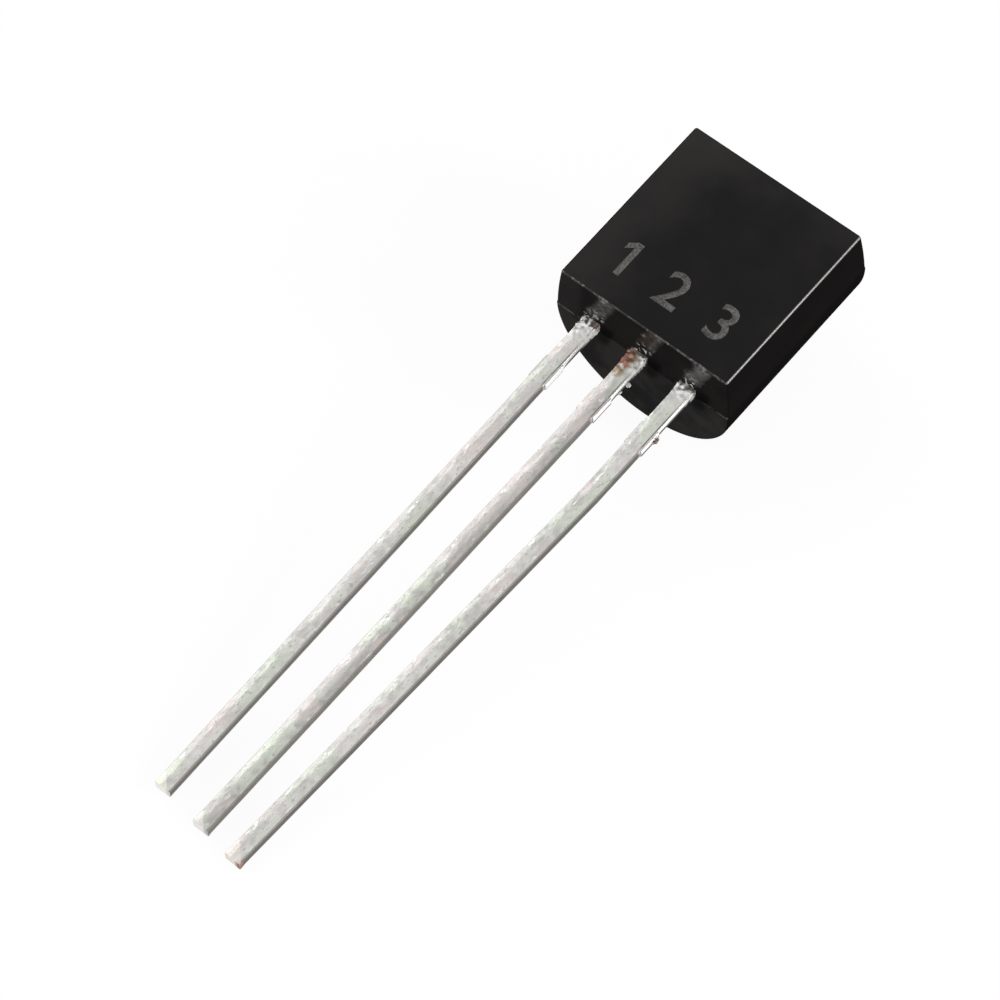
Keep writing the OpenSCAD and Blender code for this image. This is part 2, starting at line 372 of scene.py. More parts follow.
def roundBack():
    bpy.ops.mesh.primitive_cylinder_add(
        vertices=body["roundSteps"], radius=backRadius, depth=body["height"] + 2,
        location=(0, body["height"] / 2, -body["frontDepth"]), rotation=(math.pi / 2, 0, 0),
    )
    piece = named("mouldedBody")
    bpy.ops.object.transform_apply(location=True, rotation=True, scale=True)
    draft = math.radians(body["backDraft"])
    editOn(piece)
    for end, side in ((0, -1), (body["height"], 1)):
        bpy.ops.mesh.select_all(action="SELECT")
        bpy.ops.mesh.bisect(
            plane_co=(0, end, -body["frontDepth"]),
            plane_no=(0, side * math.cos(draft), -math.sin(draft)),
            use_fill=True, clear_outer=True, threshold=cutTolerance,
        )
    pick(piece, "EDGE", sharpEdge)
    bpy.ops.mesh.bevel(offset=body["backEdge"], segments=body["backEdgeSteps"], affect="EDGES")
    bpy.ops.mesh.select_all(action="SELECT")
    bpy.ops.mesh.bisect(
        plane_co=(0, 0, -body["frontDepth"]), plane_no=(0, 0, 1),
        use_fill=True, clear_outer=True, threshold=cutTolerance,
    )
    pick(piece, "EDGE", lambda edge: sharpEdge(edge, body["stepSharp"]))
    bpy.ops.mesh.bevel(offset=body["stepEdge"], segments=body["stepEdgeSteps"], affect="EDGES")
    editOff()
    return piece


def frontHalf():
    width = partingWidth - 2 * body["step"]
    height = body["height"] - 2 * body["step"]
    flatHeight = body["height"] - 2 * body["frontDepth"] * math.tan(math.radians(body["frontDraft"]))
    middle = body["height"] / 2
    bottom = -body["frontDepth"] - body["overlap"]
    bpy.ops.mesh.primitive_plane_add(size=1, location=(0, middle, bottom))
    piece = named("frontHalf")
    piece.scale = (width, height, 1)
    bpy.ops.object.transform_apply(location=True, rotation=True, scale=True)
    editOn(piece)
    bpy.ops.mesh.select_all(action="SELECT")
    bpy.ops.mesh.bevel(offset=body["backEdge"], segments=body["cornerSteps"], affect="VERTICES")
    swell = (width - body["flatWidth"]) / 2
    swellRadius = (body["frontDepth"] ** 2 + swell ** 2) / (2 * swell)
    levels = [(bottom, width, height), (-body["frontDepth"] - body["ringGap"], width, height)]
    for step in range(1, body["swellSteps"] + 1):
        share = step / body["swellSteps"]
        rise = share * body["frontDepth"]
        inward = swellRadius - math.sqrt(swellRadius ** 2 - rise ** 2)
        levels.append((rise - body["frontDepth"], width - 2 * inward, height + (flatHeight - height) * share))
    for (level, wide, tall), (nextLevel, nextWide, nextTall) in zip(levels, levels[1:]):
        pick(piece, "FACE", lambda face: face.calc_center_median().z > level - 0.001)
        bpy.ops.mesh.extrude_region_move(TRANSFORM_OT_translate={"value": (0, 0, nextLevel - level)})
        bpy.ops.transform.resize(value=(nextWide / wide, nextTall / tall, 1), center_override=(0, middle, 0))
    pick(piece, "EDGE", lambda edge: all(v.co.z > -0.001 for v in edge.verts))
    bpy.ops.mesh.bevel(offset=body["flatEdge"], segments=body["flatEdgeSteps"], affect="EDGES")
    pick(piece, "FACE", lambda face: face.normal.z > 0.999 and face.calc_area() > 1)
    bpy.ops.mesh.inset(thickness=body["flatRim"], depth=0)
    bpy.ops.mesh.select_all(action="SELECT")
    bpy.ops.mesh.normals_make_consistent(inside=False)
    editOff()
    return piece


mouldedBody = roundBack()
combine(mouldedBody, frontHalf(), "UNION")
for tool in cavityTools:
    combine(mouldedBody, tool, "DIFFERENCE")
for node in ("chip_solder", "chip"):
    combine(mouldedBody, copyOfNode(node, node + "Seat"), "DIFFERENCE")
smoothFaces(mouldedBody)
print("body modelled:", len(mouldedBody.data.polygons), "faces")


# Pin numbers in the laser-marked place on the flat: plain 1, 2 and 3, each above its lead
marking = {
    "height": 0.9,        # of a figure, mm
    "stroke": 0.14,
    "above": 0.72,        # from the lead end of the body to the feet of the figures
    "weight": 0.012,      # the stroke is made this much wider on each side
    "thickness": 0.003,
    "sunk": 0.001,
    "capShare": 0.73,     # height of the font's figures as a share of its size
    "flagDepth": 1.1,     # of the 1's flag, in strokes
    "flagReach": (-1.3, -0.95),
    "merge": 0.004,       # points of a figure's outline that lie closer than this become one
}


def thicken():  # in edit mode, gives a flat figure its thickness
    bpy.ops.mesh.select_all(action="SELECT")
    bpy.ops.mesh.extrude_region_move(TRANSFORM_OT_translate={"value": (0, 0, marking["thickness"])})
    bpy.ops.mesh.select_all(action="SELECT")
    bpy.ops.mesh.normals_make_consistent(inside=False)
    editOff()


def pinNumber(figure, x):
    bpy.ops.object.text_add(location=(0, 0, 0))
    piece = named("pinNumber" + figure)
    piece.data.body = figure
    piece.data.align_x = "CENTER"
    piece.data.size = marking["height"] / marking["capShare"]
    piece.data.offset = marking["weight"]
    onlyThis(piece)
    bpy.ops.object.convert(target="MESH")
    piece = bpy.context.object
    editOn(piece)
    bpy.ops.mesh.select_all(action="SELECT")
    bpy.ops.mesh.remove_doubles(threshold=marking["merge"])
    thicken()
    levels = [vertex.co.y for vertex in piece.data.vertices]
    grow = marking["height"] / (max(levels) - min(levels))
    place = Vector((x, marking["above"] - min(levels) * grow, -marking["sunk"]))
    piece.data.transform(Matrix.Translation(place) @ Matrix.Diagonal((grow, grow, 1, 1)))
    return piece


def figureOne(x):  # the font's 1 is nearly a bare bar, so this one is drawn with a flag
    height, stroke = marking["height"], marking["stroke"]
    flagFoot = height / 2 - stroke * marking["flagDepth"]
    bpy.ops.mesh.primitive_plane_add(size=1, location=(0, 0, 0))
    piece = named("pinNumber1")
    bpy.ops.transform.resize(value=(stroke, height, 1), center_override=(0, 0, 0))
    bpy.ops.object.transform_apply(location=True, rotation=True, scale=True)
    editOn(piece)
    bpy.ops.mesh.select_all(action="SELECT")
    bpy.ops.mesh.bisect(plane_co=(0, flagFoot, 0), plane_no=(0, 1, 0), threshold=cutTolerance)
    pick(piece, "EDGE", lambda edge: all(v.co.x < 0 and v.co.y > flagFoot - 0.001 for v in edge.verts))
    reach = [stroke * share for share in marking["flagReach"]]
    bpy.ops.mesh.extrude_region_move(TRANSFORM_OT_translate={"value": (*reach, 0)})
    thicken()
    piece.data.transform(Matrix.Translation((x + stroke / 2, marking["above"] + height / 2, -marking["sunk"])))
    return piece


pinNumbers = [figureOne(leads[0]["x"])]
pinNumbers += [pinNumber(str(count + 1), leads[count]["x"]) for count in (1, 2)]
print("pin numbers placed")


# Materials
class Value:  # one socket, so that shader maths reads as plain expressions
    def __init__(self, nodes, socket):
        self.nodes = nodes
        self.socket = socket

    def maths(self, how, other=None, swapped=False):
        pair = (other, self) if swapped else (self, other)
        inputs = {place: item for place, item in enumerate(pair) if item is not None}
        return self.nodes.node("ShaderNodeMath", {"operation": how}, inputs)

    def size(self):  # without its sign
        return self.maths("ABSOLUTE")

    def larger(self, other):
        return self.maths("MAXIMUM", other)

    def __neg__(self):
        return self.maths("SUBTRACT", 0, True)

    def __add__(self, other):
        return self.maths("ADD", other)

    def __radd__(self, other):
        return self.maths("ADD", other, True)

    def __sub__(self, other):
        return self.maths("SUBTRACT", other)

    def __rsub__(self, other):
        return self.maths("SUBTRACT", other, True)

    def __mul__(self, other):
        return self.maths("MULTIPLY", other)

    def __rmul__(self, other):
        return self.maths("MULTIPLY", other, True)

    def __truediv__(self, other):
        return self.maths("DIVIDE", other)


class Nodes:  # the emptied node tree of a new material or world
    def __init__(self, owner):
        owner.use_nodes = True
        self.tree = owner.node_tree
        self.tree.nodes.clear()

    def node(self, kind, settings, inputs, output=0):
        made = self.tree.nodes.new(kind)
        for key, value in settings.items():
            setattr(made, key, value)
        for key, value in inputs.items():
            if isinstance(value, Value):
                self.tree.links.new(value.socket, made.inputs[key])
            else:
                made.inputs[key].default_value = value
        return Value(self, made.outputs[output]) if made.outputs else made

    def seenShare(self):  # 1 for camera, glossy and transmission rays
        rays = [
            self.node("ShaderNodeLightPath", {}, {}, name)
            for name in ("Is Camera Ray", "Is Glossy Ray", "Is Transmission Ray")
        ]
        return rays[0].larger(rays[1]).larger(rays[2])


class Finish(Nodes):  # a material that is painted in the package's frame
    def __init__(self, name):
        self.material = bpy.data.materials.new(name)
        super().__init__(self.material)
        coordinates = self.node("ShaderNodeTexCoord", {}, {}, "Object")
        start = turned.transposed() @ leadEnd
        toFrame = {"Location": tuple(-start / mm), "Rotation": (-tilt, 0, 0), "Scale": (1 / mm,) * 3}
        self.place = self.node("ShaderNodeMapping", {"vector_type": "POINT"}, {"Vector": coordinates, **toFrame})
        self.x, self.y, self.z = self.split(self.place)
        normal = self.node("ShaderNodeTexCoord", {}, {}, "Normal")
        normal = self.node("ShaderNodeVectorRotate", {"rotation_type": "X_AXIS"}, {"Vector": normal, "Angle": -tilt})
        self.nx, self.ny, self.nz = self.split(normal)

    def split(self, vector):
        first = self.node("ShaderNodeSeparateXYZ", {}, {0: vector})
        return [Value(self, output) for output in first.socket.node.outputs]

    def noise(self, vector, scale, detail=2.0, roughness=0.5):
        return self.node(
            "ShaderNodeTexNoise", {}, {"Vector": vector, "Scale": scale, "Detail": detail, "Roughness": roughness},
        )

    def pattern(self, rates, shift, detail=2.0, roughness=0.5):  # noise at its own rate along each axis
        vector = self.node("ShaderNodeMapping", {}, {"Vector": self.place, "Scale": rates, "Location": shift})
        return self.noise(vector, 1.0, detail, roughness)

    def band(self, value, low, high):  # 0 below low, 1 above high
        return self.node(
            "ShaderNodeMapRange", {"interpolation_type": "SMOOTHSTEP"},
            {"Value": value, "From Min": low, "From Max": high, "To Min": 0.0, "To Max": 1.0},
        )

    def fade(self, value, low, high):  # 1 below low, 0 above high
        return 1 - self.band(value, low, high)

    def leaning(self, share):  # where the surface turns at least a little towards a side
        return self.band(share, 0.15, 0.4)

    def facing(self, share):  # where it faces that side
        return self.band(share, 0.75, 0.9)

    def spot(self, x, y, z, radius, soft=0.5):  # a soft ball of paint round a point of the package's frame
        centre = (x, y, z)
        if any(isinstance(item, Value) for item in centre):
            centre = self.node("ShaderNodeCombineXYZ", {}, dict(enumerate(centre)))
        far = self.node("ShaderNodeVectorMath", {"operation": "DISTANCE"}, {0: self.place, 1: centre}, "Value")
        return self.fade(far, radius * (1 - soft), radius)

    def mix(self, share, first, second):
        colours = {6: self.colour(first), 7: self.colour(second)}
        return self.node("ShaderNodeMix", {"data_type": "RGBA"}, {0: share, **colours}, 2)

    def colour(self, value):
        return value if isinstance(value, Value) else (*value, 1)

    def bump(self, height, depth, before=None):  # depth in metres
        inputs = {"Height": height, "Distance": depth, "Strength": 1.0}
        if before is not None:
            inputs["Normal"] = before
        return self.node("ShaderNodeBump", {}, inputs)

    def finished(self, inputs):
        shader = self.node("ShaderNodeBsdfPrincipled", {}, inputs)
        self.node("ShaderNodeOutputMaterial", {}, {"Surface": shader})
        return self.material


moulding = {
    "colour": (0.0092, 0.0085, 0.0088),
    "light": (0.0225, 0.0213, 0.0206),     # painted sheen towards the flat's left and far edges, and at the far left of the lead end
    "brown": (0.0150, 0.0132, 0.0120),
    "shadow": (0.0030, 0.0026, 0.0024),    # on the sides and the ends
    "cloudy": (0.03, 0.027, 0.026),        # on the round half of the ends
    "leadShadow": (0.0012, 0.001, 0.0008),     # painted shadow on the lead end, beside each lead
    "dust": (0.055, 0.053, 0.050),
    "dusty": (0.15, 0.144, 0.137),
    "line": (0.11, 0.107, 0.10),           # pale flash along the parting, partly a painted highlight
    # wear on the flat's near and right edges, and a painted sheen along its right edge
    "wornAndSheen": (0.16, 0.155, 0.15),
    "crumb": (0.5, 0.48, 0.45),
    "reflectedBeads": (0.55, 0.53, 0.5),             # painted reflection of each lead's bright beads, in its mirror image
    "dustySpots": (       # on the lead end: x, z and radius
        (-1.05, -0.06, 0.2), (0.43, -0.06, 0.1), (1.52, -0.08, 0.3), (0.02, -0.3, 0.1), (1.28, -0.62, 0.26),
        (-1.3, -0.75, 0.26),
    ),
    "crumbSpots": (
        (-1.52, -0.9, 0.05), (-1.4, -0.84, 0.035), (-1.46, -0.72, 0.025), (-1.1, -0.1, 0.035), (-0.95, -0.08, 0.03),
        (0.25, -0.5, 0.035), (0.1, -0.86, 0.03), (1.12, -0.86, 0.03), (1.33, -0.62, 0.025),
    ),
    "flatRoughness": 0.5,
    "sideRoughness": 0.4,
    "coatRoughness": 0.2,
    "flatCoat": 0.10,
    "sideCoat": 0.012,
    "leftCoat": 0.06,
    "endCoat": 0.02,
    "mirrorCoat": 0.8,    # on the lead end, where it shows the leads again
    "mirrorSlope": 0.4,   # how the leads' mirror images lean across the end
    "leadShadowSlope": 0.3,
    "leadShadowShift": 0.36,
    "backCoat": 0.28,
    "edgeCoat": 1.0,
    "grain": 20.0,        # grains per mm
    "grainDepth": 0.0000012,
    "cloud": 0.9,
    "cloudDepth": 0.000012,
    "fleck": ((3.2, 3.2, 5.0), (7, 3, 0), 4.0, 0.7),      # rates, shift, detail and roughness of a pattern
    "speck": ((11.0, 11.0, 11.0), (1, 5, 2), 3.0, 0.6),
    "bit": ((11.0, 11.0, 11.0), (3, 9, 4), 1.0, 0.5),
}


def nearestLine(paint, shift, slope, level):  # distance from the leaning lines that start at the leads
    nearest = None
    for one in leads:
        apart = (paint.x - (one["x"] + shift) - slope * (paint.z - level)).size()
        nearest = apart if nearest is None else nearest.maths("MINIMUM", apart)
    return nearest


def mouldingFinish():
    paint = Finish("blackMoulding")
    depth = body["frontDepth"]
    flatShare = paint.band(paint.z, -0.006, -0.0015)
    notFlat = 1 - flatShare
    end = paint.facing(paint.ny.size())
    leadSide = paint.facing(-paint.ny)
    back = paint.band(-paint.z, depth - 0.01, depth + 0.05)
    front = 1 - back
    toRight, toLeft, toNear = (paint.leaning(share) for share in (paint.nx, -paint.nx, -paint.ny))
    edge = paint.band(paint.nz, 0.22, 0.42) * notFlat * paint.band(paint.z, -0.2, -0.1)
    grain = paint.noise(paint.place, moulding["grain"])
    cloud = paint.noise(paint.place, moulding["cloud"], 3.0, 0.55)
    fleck, speck, reflectedBeads = (paint.pattern(*moulding[name]) for name in ("fleck", "speck", "bit"))

    # Painted sheen: the flat is paler towards its left and far edges, and the lead end at its far left; painted
    # shade: the sides and the ends are darker
    flatSheen = 0.65 * paint.band(-paint.x, 0.2, 2.1) + 0.4 * paint.band(paint.y, 3.3, 4.6) + 0.9 * (cloud - 0.5)
    colour = paint.mix(paint.band(flatSheen, 0.0, 1.0) * flatShare, moulding["colour"], moulding["light"])
    colour = paint.mix(paint.band(cloud, 0.4, 0.7) * (0.3 + 0.7 * end), colour, moulding["brown"])
    farLeft = end * paint.band(-paint.x, 1.5, 1.8) * front
    darker = 0.75 - 0.45 * end - 0.3 * end * back - 0.25 * farLeft
    colour = paint.mix(notFlat * darker, colour, moulding["shadow"])
    colour = paint.mix(0.5 * farLeft, colour, moulding["light"])
    cloudy = 0.45 * end * back * paint.band(cloud + 0.3 * fleck, 0.5, 0.8)
    colour = paint.mix(cloudy, colour, moulding["cloudy"])

    # Pale flash along the parting of the lead end, partly a painted highlight, and dust and wear on the near and
    # right edges of the flat, with a painted sheen along the right edge
    drop = -(paint.z + 0.05 * (fleck - 0.5))
    flashHighlightMask = paint.band(drop, depth - 0.03, depth - 0.008) * paint.fade(drop, depth + 0.008, depth + 0.03)
    flashHighlightMask = flashHighlightMask * (0.25 + 0.75 * paint.band(paint.x.size(), 1.35, 1.8))
    flashHighlightMask = flashHighlightMask * paint.band(-paint.ny, 0.5, 0.7) * paint.band(fleck, 0.38, 0.6)
    colour = paint.mix(flashHighlightMask, colour, moulding["line"])
    nearEdge = edge * toNear
    colour = paint.mix(nearEdge * paint.band(fleck + 0.6 * (speck - 0.5), 0.42, 0.62), colour, moulding["dust"])
    colour = paint.mix(nearEdge * paint.band(speck, 0.56, 0.66), colour, moulding["wornAndSheen"])
    # painted sheen, with wear, along the flat's right edge
    colour = paint.mix(edge * toRight * (0.6 + 0.8 * (speck - 0.5)), colour, moulding["wornAndSheen"])

    # The lead end is glossy enough to show each lead again, with crumbs and a painted reflection of the lead's beads
    # next to the lead, and a painted shadow beside it
    mirror = nearestLine(paint, 0, moulding["mirrorSlope"], sheetTop) + 0.15 * (speck - 0.5) + 0.1 * (fleck - 0.5)
    mirror = paint.fade(mirror, 0.1, 0.26) * leadSide * front
    close = mirror * paint.fade(paint.z - sheetTop, 0.12, 0.5)
    broken = paint.band(fleck + 0.2 * (speck - 0.5), 0.36, 0.6)
    mirror = mirror * (0.45 + 0.55 * broken) * (1 - 0.55 * close)
    # painted shadow on the lead end, beside each lead
    leadShadow = nearestLine(paint, moulding["leadShadowShift"], moulding["leadShadowSlope"], -depth)
    leadShadow = paint.fade(leadShadow, 0.06, 0.24) * leadSide
    leadShadow = leadShadow * paint.fade((paint.z + depth + 0.05).size(), 0.2, 0.5)
    colour = paint.mix(0.85 * leadShadow, colour, moulding["leadShadow"])
    # bright flecks near each lead: a painted reflection of its beads
    colour = paint.mix(0.9 * close * paint.band(reflectedBeads, 0.57, 0.64), colour, moulding["reflectedBeads"])
    for x, z, radius in moulding["dustySpots"]:
        dusty = paint.spot(x, 0.08, z, radius, 0.8) * paint.band(speck + 0.3 * (grain - 0.5), 0.42, 0.6)
        colour = paint.mix(0.8 * dusty * notFlat, colour, moulding["dusty"])
    for x, z, radius in moulding["crumbSpots"]:
        ragged = (x + 0.2 * (speck - 0.5) + 0.08 * (grain - 0.5), 0.0, z + 0.2 * (fleck - 0.5))
        colour = paint.mix(paint.spot(*ragged, radius, 0.6), colour, moulding["crumb"])

    rough = moulding["flatRoughness"] * flatShare + moulding["sideRoughness"] * notFlat
    rough = rough + 0.08 * (grain - 0.5) + 0.08 * (cloud - 0.5)
    side = moulding["sideCoat"] + moulding["leftCoat"] * toLeft
    frontCoat = moulding["endCoat"] * end + side * (1 - end)
    backCoat = moulding["backCoat"] * paint.band(-paint.nz, 0.25, 0.6) * (1 - end) + 2 * moulding["endCoat"] * end
    coat = frontCoat * front + backCoat * back + moulding["mirrorCoat"] * mirror
    coat = moulding["flatCoat"] * flatShare + coat * notFlat
    lit = edge * (toRight + 0.6 * toNear * (1 - toRight))
    coat = coat * (1 - lit) + moulding["edgeCoat"] * lit
    coat = coat * (1 - edge * (1 - toRight) * (1 - toNear))
    height = paint.bump(cloud, moulding["cloudDepth"], paint.bump(grain, moulding["grainDepth"]))
    return paint.finished({
        "Base Color": colour, "Roughness": rough, "Coat Weight": coat, "Normal": height,
        "Specular IOR Level": 0.0, "Coat Roughness": moulding["coatRoughness"], "Coat IOR": 1.5,
    })


laserMark = {
    "dark": (0.035, 0.034, 0.033),
    "light": (0.115, 0.11, 0.104),
    "roughness": 0.75,
    "specular": 0.1,
    "speckle": 22.0,      # grains per mm
    "speckleDepth": 0.000003,
    "patch": 3.5,
}


def markFinish():
    paint = Finish("laserMark")
    speckle = paint.noise(paint.place, laserMark["speckle"], 2.0, 0.6)
    patch = paint.noise(paint.place, laserMark["patch"])
    share = paint.band(speckle + 0.35 * (patch - 0.5), 0.28, 0.66)
    return paint.finished({
        "Base Color": paint.mix(share, laserMark["dark"], laserMark["light"]),
        "Roughness": laserMark["roughness"], "Specular IOR Level": laserMark["specular"],
        "Normal": paint.bump(speckle, laserMark["speckleDepth"]),
    })


tin = {
    "light": (0.575, 0.57, 0.55),
    "dark": (0.445, 0.44, 0.42),
    "shade": (0.0, 0.0, 0.0),
    "green": (0.50, 0.535, 0.46),
    "pink": (0.55, 0.49, 0.475),
    # scratches, partly painted glints
    "scratchGlint": (0.78, 0.77, 0.735),
    "pit": (0.2, 0.185, 0.17),
    "outline": (0.3, 0.295, 0.28),         # along the left edge
    "shadedRolledEdge": (0.26, 0.25, 0.235),         # painted shade along the right edge, beyond the tie bar
    "rightEdgeShade": (0.17, 0.16, 0.15),          # painted shade along the right edge, nearer to the body
    "bright": (0.95, 0.945, 0.92),
    "under": (0.07, 0.062, 0.055),         # the lower part of the sides near the body
    "nearBody": (0.8, 0.79, 0.765),
    "copper": (0.27, 0.10, 0.06),
    "tan": (0.25, 0.18, 0.10),
    "resin": (0.03, 0.024, 0.02),
    "roughness": 0.38,
    "rolledRoughness": 0.85,
    "cloudRates": (2.6, 1.1, 2.6),         # of each pattern, per mm across, along and through the sheet
    "tintRates": (1.6, 0.75, 1.6),
    "softRates": (6.0, 3.4, 6.0),
    "fineRates": (15.0, 9.0, 15.0),
    "blotRates": (11.0, 8.0, 11.0),
    "scratchRates": (8.0, 2.2, 4.0),
    "scratchTurn": 0.62,
    "softDepth": 0.000012,
    "fineDepth": 0.0000025,
}


def tinFinish(one, patches, resin, shade, tip, outline, sheared, rounded, stub):
    paint = Finish("tinned" + one["name"][0].upper() + one["name"][1:])
    below = -paint.y
    bent = (below - lead["bendGap"]).larger(0.0)
    across = (paint.x - one["x"] - one["slope"] * bent) / (lead["width"] / 2)
    shift = (one["seed"], one["seed"] * 2, 0)
    cloud = paint.pattern(tin["cloudRates"], shift, 3.0)
    tint = paint.pattern(tin["tintRates"], (shift[1], 0, shift[0]))
    soft, fine, blot = (paint.pattern(tin[name], shift) for name in ("softRates", "fineRates", "blotRates"))
    right = paint.band(across, -0.25, 0.5)
    colour = paint.mix(paint.band(cloud + (soft - 0.5) - shade * right, 0.26, 0.64), tin["dark"], tin["light"])
    left = paint.fade(across, -0.6, 0.0)
    colour = paint.mix(left * (0.27 - 0.09 * paint.band(below, 3.0, 9.0)), colour, tin["shade"])
    colour = paint.mix(0.5 * shade * right, colour, tin["shade"])
    tint = tint + 0.5 * (soft - 0.5)
    colour = paint.mix(0.7 * paint.band(tint, 0.5, 0.64), colour, tin["green"])
    colour = paint.mix(0.6 * paint.fade(tint, 0.34, 0.5), colour, tin["pink"])
    # bright streaks: scratches, partly painted glints
    scratchFrame = {"Rotation": (0, 0, tin["scratchTurn"]), "Scale": tin["scratchRates"], "Location": shift}
    scratchGlint = paint.noise(paint.node("ShaderNodeMapping", {}, {"Vector": paint.place, **scratchFrame}), 1.0, 1.0)
    scratchGlint = paint.band(scratchGlint, 0.62, 0.7) * paint.band(fine, 0.44, 0.58)
    colour = paint.mix(0.6 * scratchGlint, colour, tin["scratchGlint"])
    colour = paint.mix(0.4 * paint.band(fine + 0.5 * (soft - 0.5), 0.62, 0.72), colour, tin["pit"])
    colour = paint.mix(outline * paint.fade(across, -0.96, -0.84), colour, tin["outline"])

    # Sheared sides: bright near the body and dark beyond the cut tie bar, with painted shade along the top's right
    # edge
    side = paint.band(paint.nx.size(), 0.72, 0.93)
    tieEnd = lead["tieGap"] + lead["tieHeight"]
    beyondTie = paint.band(below, tieEnd - 0.06, tieEnd + 0.1)
    nearSide = side * (1 - beyondTie)
    shadedRolledEdge = paint.band(across, 0.72, 0.86) * beyondTie
    # painted shade on the rolled right edge beyond the tie bar
    colour = paint.mix(shadedRolledEdge * (1 - side) * 0.75, colour, tin["shadedRolledEdge"])
    rightEdgeShade = paint.band(across, 0.70, 0.76) * paint.fade(across, 0.84, 0.9) * (1 - beyondTie)
    colour = paint.mix(rightEdgeShade * paint.band(soft + 0.3 * (fine - 0.5), 0.3, 0.5), colour, tin["rightEdgeShade"])
    upper = paint.z - sheetTop + 0.03 * (soft - 0.5) + stub * paint.band(below, 1.0, 1.2)
    upper = paint.band(upper, -0.17, -0.1)
    colour = paint.mix(nearSide * upper * 0.9, colour, tin["bright"])
    colour = paint.mix(nearSide * (1 - upper), colour, tin["under"])
    colour = paint.mix(side * beyondTie * (0.75 + 0.25 * soft), colour, sheared)
    lowest = paint.fade(paint.z - sheetTop, -0.225, -0.17)
    colour = paint.mix(rounded * side * beyondTie * lowest, colour, tin["bright"])
    nearBody = paint.fade(below, 0.25, 0.95)
    colour = paint.mix(0.55 * nearBody * (1 - side), colour, tin["nearBody"])

    # Patches of bare copper and of flux
    patched = None
    for patch in patches:
        start = patch.get("break", 0.4)
        share = paint.spot(*patch["place"], patch["radius"], patch.get("soft", 0.6))
        share = share * paint.band(soft + 0.6 * (fine - 0.5), start, start + 0.2) * patch.get("share", 1.0)
        colour = paint.mix(share, colour, patch["colour"])
        patched = share if patched is None else patched.larger(share)

    # Next to the body: beads of bright tin between dark gaps of resin
    root = paint.fade(below, 0.0, resin["reach"])
    beads = paint.band(blot, 0.42, 0.54) * root.maths("SQRT") * resin["beads"] * (1 - 0.85 * patched)
    colour = paint.mix(0.9 * beads, colour, tin["bright"])
    stain = paint.band(1.0 - blot + 0.5 * root, resin["start"], resin["start"] + 0.1)
    stain = stain * (1 - 0.6 * side) * (1 - 0.6 * patched)
    rootEdge = paint.fade(below + 0.5 * (blot - 0.5), 0.02, 0.13) * (1 - 0.5 * patched) * resin["edge"]
    stain = stain.larger(rootEdge)
    colour = paint.mix(stain * 0.92, colour, tin["resin"])

    # The tip: a pale slanted cut, and its end face, whose pale colour is a painted highlight
    slant = paint.y + one["length"] + 0.2 * (across + 1)
    cut = paint.fade(slant, tip["height"], tip["height"] + 0.06) * (1 - side)
    cutEnd = paint.band(-paint.ny, 0.6, 0.85) * paint.band(below, one["length"] - 0.3, one["length"] - 0.2)
    colour = paint.mix(0.6 * cut, colour, tip["cut"])
    colour = paint.mix(cutEnd, colour, tip["end"])
    colour = paint.mix(cutEnd * paint.band(across, 0.2, 0.7), colour, tip["corner"])
    rough = tin["roughness"] + 0.12 * (soft - 0.5) + 0.15 * side + 0.2 * stain - 0.06 * scratchGlint
    rough = rough * (1 - shadedRolledEdge) + tin["rolledRoughness"] * shadedRolledEdge
    metal = (1 - 0.95 * stain) * (1 - 0.6 * nearBody) * (1 - 0.45 * nearSide) - 0.5 * cutEnd
    height = paint.bump(fine, tin["fineDepth"], paint.bump(soft, tin["softDepth"]))
    return paint.finished({"Base Color": colour, "Roughness": rough, "Metallic": metal, "Normal": height})


# In each tip, the end colour is a painted highlight on the tip's end face
leadLooks = {
    "leftLead": {
        "patches": [{"place": (-1.17, -0.03, sheetTop), "radius": 0.14, "colour": (0.2, 0.11, 0.07)}],
        "resin": {"reach": 0.6, "start": 0.94, "beads": 1.0, "edge": 0.45}, "shade": 0.06, "outline": 0.7,
        "sheared": (0.13, 0.118, 0.11), "rounded": 0.8, "stub": 0.07,
        "tip": {"height": 0.3, "cut": (0.66, 0.68, 0.56), "end": (0.8, 0.8, 0.74), "corner": (0.6, 0.6, 0.55)},
    },
    "centreLead": {
        "patches": [
            {"place": (-0.17, -0.2, sheetTop), "radius": 0.3, "colour": tin["tan"], "break": 0.1},
            {"place": (-0.2, -0.12, sheetTop), "radius": 0.22, "colour": tin["copper"], "break": 0.2},
            {"place": (-0.16, -0.4, sheetTop), "radius": 0.2, "colour": tin["copper"], "break": 0.24},
            {"place": (-0.14, -0.6, sheetTop), "radius": 0.2, "colour": tin["tan"], "break": 0.28, "share": 0.85},
        ],
        "resin": {"reach": 0.5, "start": 1.0, "beads": 0.85, "edge": 1.0}, "shade": 0.4, "outline": 0.2,
        "sheared": (0.19, 0.175, 0.16), "rounded": 0.2, "stub": 0.04,
        "tip": {"height": 0.27, "cut": (0.66, 0.63, 0.6), "end": (0.78, 0.74, 0.71), "corner": (0.45, 0.42, 0.4)},
    },
    "rightLead": {
        "patches": [
            {"place": (1.5, -1.36, sheetTop - 0.2), "radius": 0.2, "colour": (0.08, 0.056, 0.05), "break": 0.1},
            {
                "place": (1.04, -13.95, sheetTop - 0.08), "radius": 0.17, "colour": (0.4, 0.24, 0.18),
                "break": 0.0, "soft": 0.8,
            },
        ],
        "resin": {"reach": 0.36, "start": 1.0, "beads": 0.95, "edge": 0.9}, "shade": 0.04, "outline": 0.2,
        "sheared": (0.11, 0.10, 0.092), "rounded": 0.0, "stub": 0.0,
        "tip": {"height": 0.42, "cut": (0.68, 0.63, 0.59), "end": (0.74, 0.66, 0.61), "corner": (0.24, 0.14, 0.105)},
    },
}


